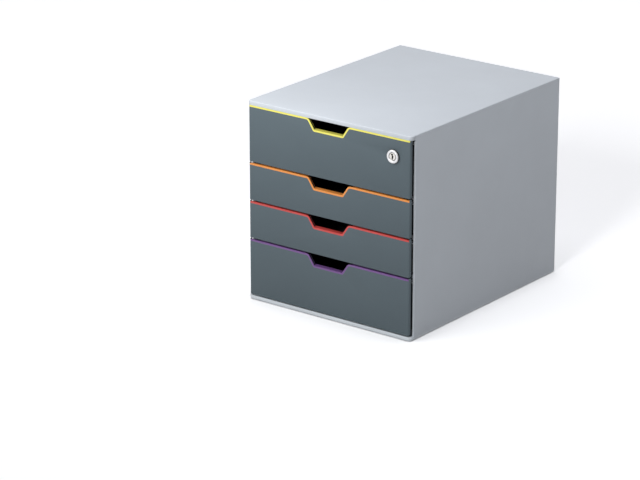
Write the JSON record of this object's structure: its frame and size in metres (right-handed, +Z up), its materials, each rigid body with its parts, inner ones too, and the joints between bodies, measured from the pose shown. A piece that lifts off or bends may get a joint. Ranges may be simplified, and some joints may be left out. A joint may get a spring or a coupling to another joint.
{
  "type": "desktop file drawer",
  "caption": "Lockable desktop drawer box in grey plastic, with shallow and deep drawers that slide forward, finger notches and coloured edge trims.",
  "frame": {"origin": "under the middle of the whole box, lock face included, on the surface it stands on", "axes": "+X to the right seen from the drawer fronts, +Y from the fronts to the rear, +Z up"},
  "size_m": [0.28, 0.359, 0.292],
  "materials": {
    "housing_plastic": "light grey moulded plastic, fine satin grain",
    "front_plastic": "charcoal moulded plastic, fine satin grain",
    "tray_plastic": "dark grey moulded plastic",
    "trim_yellow": "yellow moulded strip",
    "trim_orange": "orange moulded strip",
    "trim_red": "red moulded strip",
    "trim_purple": "purple moulded strip",
    "foot_rubber": "soft black rubber",
    "lock_chrome": "bright nickel plate",
    "plug_metal": "satin nickel",
    "lock_steel": "zinc plated steel",
    "wafer_brass": "stamped brass"
  },
  "bodies": {
    "housing": {"top_panel": "housing_plastic", "base_panel": "housing_plastic", "left_side_panel": "housing_plastic", "right_side_panel": "housing_plastic", "rear_panel": "housing_plastic", "foot_front_left": "foot_rubber", "foot_front_right": "foot_rubber", "foot_rear_left": "foot_rubber", "foot_rear_right": "foot_rubber"},
    "drawer_1": {"drawer_1_tray": "tray_plastic", "drawer_1_front": "front_plastic", "drawer_1_trim": "trim_yellow", "lock_barrel": "lock_chrome", "lock_nut": "lock_steel"},
    "drawer_2": {"drawer_2_tray": "tray_plastic", "drawer_2_front": "front_plastic", "drawer_2_trim": "trim_orange"},
    "drawer_3": {"drawer_3_tray": "tray_plastic", "drawer_3_front": "front_plastic", "drawer_3_trim": "trim_red"},
    "drawer_4": {"drawer_4_tray": "tray_plastic", "drawer_4_front": "front_plastic", "drawer_4_trim": "trim_purple"},
    "lock_core": {"lock_plug": "plug_metal", "lock_wafers": "wafer_brass", "lock_cam": "lock_steel", "cam_washer": "lock_steel", "cam_screw": "lock_steel"}
  },
  "joints": [
    {"name": "drawer_1_slide", "type": "slide", "parent": "housing", "child": "drawer_1", "axis": [0, -1, 0], "range_m": [0, 0.265]},
    {"name": "drawer_2_slide", "type": "slide", "parent": "housing", "child": "drawer_2", "axis": [0, -1, 0], "range_m": [0, 0.265]},
    {"name": "drawer_3_slide", "type": "slide", "parent": "housing", "child": "drawer_3", "axis": [0, -1, 0], "range_m": [0, 0.265]},
    {"name": "drawer_4_slide", "type": "slide", "parent": "housing", "child": "drawer_4", "axis": [0, -1, 0], "range_m": [0, 0.265]},
    {"name": "lock_turn", "type": "hinge", "parent": "drawer_1", "child": "lock_core", "pos_m": [0.1097, -0.1765, 0.2594], "axis": [0, 1, 0], "range_deg": [0, 90]}
  ]
}
